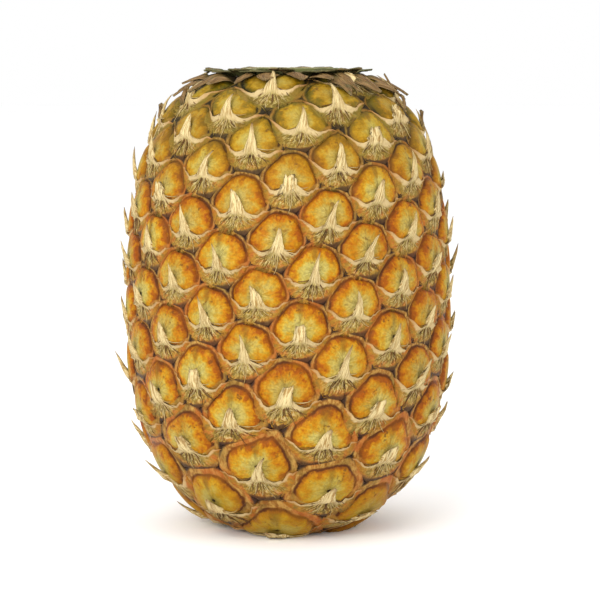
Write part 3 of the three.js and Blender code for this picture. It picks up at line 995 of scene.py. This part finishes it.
def fibre_template(kind):
    points, faces, shares, marks = [], [], [], []
    for number in range(FIBRES_EACH):
        own = number + 31 * kind
        bearing = FAN_FROM + FAN_WIDTH * (number + 0.9 * draw(own, 41)) / FIBRES_EACH
        length = (FIBRE_SHORTEST + FIBRE_LENGTHS * draw(own, 42)) * (1 - 0.12 * abs(bearing))
        bend = 0.6 * (draw(own, 43) - 0.5)
        loose = 1.1 * max(0.0, draw(own, 44) - 0.55)
        tone = float(draw(own, 45) > 0.45)
        first = len(points)
        for step in range(FIBRE_STEPS + 1):
            t = step / FIBRE_STEPS
            now = bearing + bend * t * t
            far = 0.5 + length * t
            half = FIBRE_HALF * (1.25 - 0.8 * t) * (1 + 0.6 * float(draw(own + 3 * step, 46)))
            x, down = far * math.sin(now), WING_ROOT_DOWN + far * math.cos(now) - 0.8
            lift = 0.22 + loose * t * t - 0.25 * (t > 0.99) * (loose == 0)
            for side, raised in ((-1, 0.0), (0, 1.4), (1, 0.0)):
                points.append([x + side * half * math.cos(now), 0, lift + raised * half])
                shares.append([down - side * half * math.sin(now), 0, 0, 0, 0])
                marks.append([tone, t, x / 10, (down - WING_ROOT_DOWN) / 10])
        last = len(points) - 3
        faces += quads(FIBRE_STEPS + 1, 3, columns_close=True, first=first)
        faces += [[first + 2, first + 1, first], [last, last + 1, last + 2]]
    return np.array(points), faces, np.array(shares, float), np.array(marks, float)


def fibre_finish():
    material, tree, where = new_finish("dry_fibre", 0.75, 0.3)
    cloudy = spread(grain(where, 500.0, 2.0), 0.3, 0.7)
    pale = blend(cloudy, paint(206, 168, 96), paint(244, 218, 154))
    dark = blend(cloudy, paint(88, 58, 28), paint(162, 112, 54))
    return dress(material, blend(map_parts(tree, "blade")[0], dark, pale))


fibre_rows = dict(eye_rows)
fibre_rows["kind"] = np.floor(draw(eyes["n"], 47) * FIBRE_KINDS).astype(int)
fans = template_collection("fibre_fan", map(fibre_template, range(FIBRE_KINDS)))
fibres = lay("bract_fibres", fans, fibre_rows, fibre_finish())
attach(fibres, "root")


# The crown stub
# The crown was cut off level with the fruit's shoulder. What is left are the bases of its leaves,
# wrapped round the stem like the coats of an onion, pale and moist where the knife went through.
CUT_HEIGHT = 170.6
STUB_FLOOR = 163.9
# Of each ring of the core that the leaves stand on: radius and height
CORE_PROFILE = ((20.0, STUB_FLOOR), (21.7, 166.2), (23.4, 168.0), (22.8, 168.4), (12.0, 168.4),
                (5.0, 169.3))
CORE_CUT_FROM = 168.1
CORE_SIDES = 72
FOOT_RADIUS = 21.2
OUTER_FLARE = 1.8
HEART_RADIUS = 8.0
LEAVES = 17
HEART_LEAVES = 8
FIRST_LEAF_TURN = 20.0
LEAF_TURN = 137.5
LEAF_THICKNESS = 3.4
LEAF_THINNING = 0.75
LEAF_SPAN = 96.0
LEAF_STEPS = 26
# Up the outer face, over the cut and down the inner face: height above the foot, depth in, cut
LEAF_PATH = ((0.0, 0.0, 0), (0.6, 0.0, 0), (0.93, 0.0, 0), (0.99, 0.06, 1), (1.0, 0.2, 1),
             (0.97, 0.5, 1), (1.0, 0.8, 1), (0.99, 0.94, 1), (0.93, 1.0, 0), (0.6, 1.0, 0),
             (0.0, 1.0, 0))
LEAF_VALUES = ("cut", "depth", "young")


def leaf_base(k):
    """The base of one leaf: a crescent round the stem that leans out."""
    share = min(k / (LEAVES - 1), 1.0)
    inner = max(0, k - LEAVES + 1) / HEART_LEAVES
    turn = math.radians(FIRST_LEAF_TURN + LEAF_TURN * k)
    foot = (FOOT_RADIUS + (HEART_RADIUS - FOOT_RADIUS) * share) * (1 - 0.8 * inner)
    thickness = LEAF_THICKNESS * (1 - 0.62 * inner) * (1 - 0.2 * float(draw(k, 51)))
    height = CUT_HEIGHT - STUB_FLOOR - 1.1 * float(draw(k, 52)) ** 2 * (inner == 0)
    points, marks = [], []
    for j in range(LEAF_STEPS + 1):
        across = 2 * j / LEAF_STEPS - 1
        torn = float(draw(j + 40 * k, 53)) - 0.5
        for rise, depth, cut in LEAF_PATH:
            a = turn + across * math.radians(LEAF_SPAN / 2) * (1 - 0.14 * rise) * (1 + 0.5 * inner)
            thick = thickness * (1 - LEAF_THINNING * across * across)
            r = foot + OUTER_FLARE * (1 - share) * rise - thick * depth
            z = STUB_FLOOR + height * rise - cut * (0.5 * across**4 + 0.22 * torn + 0.05)
            points.append([r * math.sin(a), -r * math.cos(a), min(z, CUT_HEIGHT)])
            marks.append((cut, depth, share))
    width = len(LEAF_PATH)
    faces = [list(range(width)), list(range(len(points) - width, len(points)))]
    return points, faces + quads(LEAF_STEPS + 1, width, columns_close=True), marks


def turned_shape(profile, sides, wobble=0.0):
    """A closed shape turned about the fruit's axis from rings of (radius, height)."""
    points = []
    for ring, (radius, height) in enumerate(profile):
        for k in range(sides):
            a = 2 * math.pi * k / sides
            uneven = float(draw(k, 54)) * (0.5 + 0.5 * float(draw(k + 9 * ring, 55)))
            r = radius * (1 - wobble * uneven)
            points.append([r * math.sin(a), -r * math.cos(a), height])
    faces = quads(len(profile), sides, columns_close=True)
    for ring, height in ((0, profile[0][1]), (len(profile) - 1, profile[-1][1])):
        for k in range(sides):
            faces.append([ring * sides + k, ring * sides + (k + 1) % sides, len(points)])
        points.append([0, 0, height])
    return points, faces


def cut_leaf_finish():
    material, tree, where = new_finish("cut_leaf", 0.55, 0.2)
    cut, depth, young = (value_of(tree, label) for label in LEAF_VALUES)
    cloud = grain(where, 160.0, 3.0)
    fine = grain(where, 1400.0, 2.0)
    wall = blend(spread(cloud, 0.35, 0.65), paint(86, 92, 44), paint(140, 142, 84))
    flesh = blend(young, paint(198, 190, 136), paint(226, 218, 160))
    flesh = blend(spread(fine, 0.5, 0.62) * 0.5, flesh, paint(150, 132, 78))
    flesh = blend(spread(cloud, 0.5, 0.68) * 0.7, flesh, paint(142, 106, 58))
    flesh = blend(spread(depth, 0.3, 0.08) * 0.8, flesh, paint(112, 118, 60))
    return dress(material, blend(cut, wall, flesh), cloud + fine * 0.5, 0.6, 0.0006)


stub_points, stub_faces = turned_shape(CORE_PROFILE, CORE_SIDES)
stub_marks = [(0.7 * (point[2] > CORE_CUT_FROM), 0.5, 0.3) for point in stub_points]
for leaf in range(LEAVES + HEART_LEAVES):
    leaf_points, leaf_faces, leaf_marks = leaf_base(leaf)
    stub_faces += [[i + len(stub_points) for i in face] for face in leaf_faces]
    stub_points += leaf_points
    stub_marks += leaf_marks
crown_leaves = new_piece("crown_leaves", stub_points, stub_faces)
for label, values in zip(LEAF_VALUES, np.array(stub_marks).T):
    point_values(crown_leaves.data, label, values)
close_shell(crown_leaves.data)
crown_leaves.data.materials.append(cut_leaf_finish())
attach(crown_leaves, "root")
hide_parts("crown_stub")


# The scales under the crown
# The lowest leaves of the crown are short scales that lie out over the shoulder. The knife took
# the tops of the inner ones. The outer ones are dry, brown and torn, most of them on the right.
SCALE_COLUMNS = 10
SCALE_ROWS = 12
SCALE_THICKNESS = 0.7
# Of each kind: length, width, bluntness, height of the end, keel, fray, how dry it is
SCALE_KINDS = (
    (5.2, 15.0, 0.25, 2.3, 0.5, 0.3, 0.1), (4.6, 12.0, 0.2, 2.5, 0.6, 0.5, 0.35),
    (5.8, 13.0, 0.3, 1.9, 0.4, 0.6, 0.2), (4.8, 10.0, 0.3, 2.6, 0.7, 0.8, 0.5),
    (14.0, 7.5, 0.9, 1.4, 0.9, 0.3, 0.7), (11.0, 6.0, 1.0, 2.4, 1.0, 0.5, 0.95),
    (16.0, 5.5, 1.0, 1.6, 0.8, 0.4, 0.8), (9.0, 8.0, 0.6, 2.2, 0.9, 1.0, 1.0),
    (-8.5, 2.8, 1.0, 3.4, 0.5, 0.1, 1.0), (-5.0, 4.4, 0.8, 2.6, 0.7, 0.8, 1.0),
)
# Of each scale laid one by one from the photo: turn in degrees, distance down the shoulder, kind
SHOULDER_SCALES = (
    (22, 3.0, 7), (33, 5.5, 4), (41, 2.0, 6), (50, 8.0, 5), (58, 4.0, 4), (66, 10.0, 7),
    (74, 5.0, 6), (86, 9.0, 5), (97, 4.0, 4), (78, 18.0, 8), (70, 26.0, 9), (88, 33.0, 9),
    (5, 2.0, 7), (-14, 3.0, 7), (-30, 2.5, 5), (-47, 6.0, 7), (-58, 3.0, 4), (-72, 9.0, 5),
    (-84, 5.0, 7), (-66, 22.0, 9), (-80, 30.0, 9), (-100, 6.0, 4), (120, 5.0, 5), (140, 3.0, 6),
    (160, 6.0, 7), (180, 4.0, 4), (-160, 6.0, 5), (-140, 3.0, 7), (-120, 7.0, 4),
)
RING_SCALES = 17
RING_KINDS = 4
RING_STRAY = 14
RING_DEPTHS = 1.2
SCALE_SWAY = 4
SCALE_FREE = 0.85


def scale_template(kind):
    length, width, blunt, end_lift, keel, fray, dry = SCALE_KINDS[kind]
    columns = np.linspace(-1, 1, SCALE_COLUMNS + 1)
    front = np.linspace(0, 1, SCALE_ROWS)
    number = np.arange(len(columns)) + 17 * kind
    points, shares, marks = [], [], []
    for row, v in enumerate([*front, *front[::-1]]):
        half = width / 2 * (1 - v ** (3.2 - 1.6 * blunt)) ** blunt * (0.75 + 0.25 * min(v / 0.2, 1))
        half = max(half, 0.12 * width * (1 - 0.8 * blunt))
        x = columns * half + 0.3 * length * (draw(kind, 61) - 0.5) * v**2
        torn = fray * (draw(number, 62) - 0.6) * v**3
        lift = -0.3 + 0.75 * min(v / 0.15, 1) + keel * (1 - columns**2) * (1 - 0.5 * v)
        lift = lift + end_lift * v**1.5 + 0.8 * torn + 0.25 * (draw(number + 3, 63) - 0.5) * v
        if row >= SCALE_ROWS:
            lift = lift - SCALE_THICKNESS * (1 - columns**6)
        none = 0 * x
        free = none + SCALE_FREE * min(v / 0.5, 1.0)
        points.append(np.stack([x, none, lift], -1))
        shares.append(np.stack([length * v + 1.8 * torn, none, free, none, none], -1))
        marks.append(np.stack([columns / 2 + 0.5, none + v, none + dry, x / 10], -1))
    faces = quads(len(points), len(columns), rows_close=True)
    return np.vstack(points), faces, np.vstack(shares), np.vstack(marks)


def scale_finish():
    material, tree, where = new_finish("scale_leaf", 0.62, 0.15)
    u, v = map_parts(tree, "blade")
    dry = map_parts(tree, "blade_place")[0]
    run = vector_of(u * 18.0, v * 1.5, value_of(tree, "seed") * 53.0)
    streak = grain(run, 1.4, 4.0, 0.65)
    streaky = spread(streak, 0.35, 0.65)
    cloud = grain(where, 300.0, 3.0)
    green = blend(streaky, paint(78, 82, 34), paint(142, 140, 84))
    brown = blend(streaky, paint(104, 70, 34), paint(206, 164, 104))
    brown = blend(spread(v, 0.35, 0.0) * 0.7, brown, paint(96, 92, 36))
    aged = dry + spread(cloud, 0.3, 0.7, -0.3, 0.3)
    tone = blend(spread(aged, 0.3, 0.7), green, brown)
    rim = maths("MAXIMUM", maths("ABSOLUTE", u - 0.5) * 2.0, v)
    rim_tone = blend(dry, paint(176, 168, 116), paint(222, 192, 138))
    tone = blend(spread(rim, 0.86, 1.0) * 0.6, tone, rim_tone)
    return dress(material, tone, streak + cloud * 0.5, 0.8, 0.0009)


scales = [(360 / RING_SCALES * k + RING_STRAY * (float(draw(k, 64)) - 0.5),
           RING_DEPTHS * (float(draw(k, 65)) - 0.5), int(RING_KINDS * draw(k, 66)))
          for k in range(RING_SCALES)]
scales += SHOULDER_SCALES
scale_number = np.arange(len(scales))
scale_turn, scale_down, scale_kind = np.array(scales, float).T
none = 0 * scale_down
scale_rows = {
    "turn": np.radians(scale_turn),
    "station": (seat_edges[eye_count] - scale_down) * MM,
    "wide_left": 0.9 + 0.25 * draw(scale_number, 67),
    "wide_right": 0.9 + 0.25 * draw(scale_number, 68),
    "side_up_left": none,
    "side_up_right": none,
    "low": 0.88 + 0.2 * draw(scale_number, 69),
    "low_across": none,
    "grow": none + 1,
    "stand": 0.85 + 0.15 * draw(scale_number, 70),
    "sway": SCALE_SWAY * MM * (draw(scale_number, 71) - 0.5),
    "seed": draw(scale_number, 72),
    "kind": scale_kind.astype(int),
}
scale_shapes = template_collection("scale", map(scale_template, range(len(SCALE_KINDS))))
crown_scales = lay("crown_scales", scale_shapes, scale_rows, scale_finish())
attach(crown_scales, "root")
bpy.data.objects.remove(outline_line)


# The stalk end
# The stalk was cut level with the fruit's base. Its cut face is flat and dry, with the ends of the
# fibres showing as dots in it, and its edge is worn.
STALK_SIDES = 96
STALK_WOBBLE = 0.02
STALK_PROFILE = ((11.9, 8.6), (11.95, 5.0), (11.95, 1.2), (11.75, 0.5), (11.4, 0.12), (11.0, 0.0),
                 (8.0, 0.0), (4.0, 0.0))


def stalk_finish():
    material, tree, where = new_finish("cut_stalk", 0.8, 0.2)
    dots = wire(tree, "ShaderNodeTexVoronoi", {"Vector": where, "Scale": 900.0}, "Distance")
    cloud = grain(where, 220.0, 4.0)
    tone = blend(spread(cloud, 0.35, 0.65), paint(196, 162, 108), paint(222, 194, 144))
    tone = blend(spread(dots, 0.35, 0.15) * 0.7, tone, paint(128, 92, 52))
    rim = spread(cloud * 0.002 + from_axis(parts_of(where)), 0.0112, 0.0128)
    tone = blend(rim * 0.8, tone, paint(120, 82, 46))
    return dress(material, tone, cloud - dots * 0.4, 0.7, 0.0006)


stalk_points, stalk_faces = turned_shape(STALK_PROFILE, STALK_SIDES, STALK_WOBBLE)
cut_stalk = new_piece("cut_stalk_end", stalk_points, stalk_faces)
close_shell(cut_stalk.data)
cut_stalk.data.materials.append(stalk_finish())
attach(cut_stalk, "root")
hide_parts("stalk_end")


# The floor, the light and the camera
# A plain white floor in soft studio light, with the key from the left of the camera.
FLOOR_HALF = 6.0
WHITE = (1, 1, 1, 1)
LOOK_AT = Vector((0, 0, 0.086))
CAMERA_DISTANCE = 0.9
CAMERA_ELEVATION = math.radians(6.0)
PIXELS_A_METRE = 2690.0
PICTURE_SIDE = 600
SENSOR = 36.0
NEAREST_SEEN = 0.05
AXIS_LEFT_OF_MIDDLE = 11.8
AXIS_ABOVE_MIDDLE = 4.0
# Of each lamp: place, size and power
LAMPS = {
    "key": ((-0.65, -1.15, 0.8), 1.1, 16.5),
    "fill": ((1.0, -0.7, 0.6), 0.9, 4.0),
    "top": ((0.0, 0.0, 1.3), 1.0, 2.0),
}

floor_mesh = bpy.data.meshes.new("floor")
floor_mesh.from_pydata([(x * FLOOR_HALF, y * FLOOR_HALF, 0)
                        for x, y in ((-1, -1), (1, -1), (1, 1), (-1, 1))], [], [(0, 1, 2, 3)])
floor = in_scene("floor", floor_mesh)
floor_mesh.materials.append(dress(new_finish("white_floor", 0.9, 0.1)[0], WHITE))

for name, (place, size, power) in LAMPS.items():
    lamp = bpy.data.lights.new(name, "AREA")
    lamp.shape = "SQUARE"
    lamp.size = size
    lamp.energy = power
    hung = in_scene(name, lamp)
    hung.location = place
    hung.rotation_euler = (LOOK_AT - Vector(place)).to_track_quat("-Z", "Y").to_euler()
world = bpy.data.worlds.new("studio")
world.use_nodes = True
world.node_tree.nodes["Background"].inputs["Color"].default_value = WHITE
world.node_tree.nodes["Background"].inputs["Strength"].default_value = 1.0
bpy.context.scene.world = world
bpy.context.scene.view_settings.view_transform = "Standard"

back = Vector((0, -math.cos(CAMERA_ELEVATION), math.sin(CAMERA_ELEVATION)))
lens = bpy.data.cameras.new("camera")
lens.sensor_width = SENSOR
lens.lens = PIXELS_A_METRE * CAMERA_DISTANCE / PICTURE_SIDE * SENSOR
lens.shift_x = AXIS_LEFT_OF_MIDDLE / PICTURE_SIDE
lens.shift_y = -AXIS_ABOVE_MIDDLE / PICTURE_SIDE
lens.clip_start = NEAREST_SEEN
camera = in_scene("camera", lens)
camera.location = LOOK_AT + back * CAMERA_DISTANCE
camera.rotation_euler = (-back).to_track_quat("-Z", "Y").to_euler()
bpy.context.scene.camera = camera
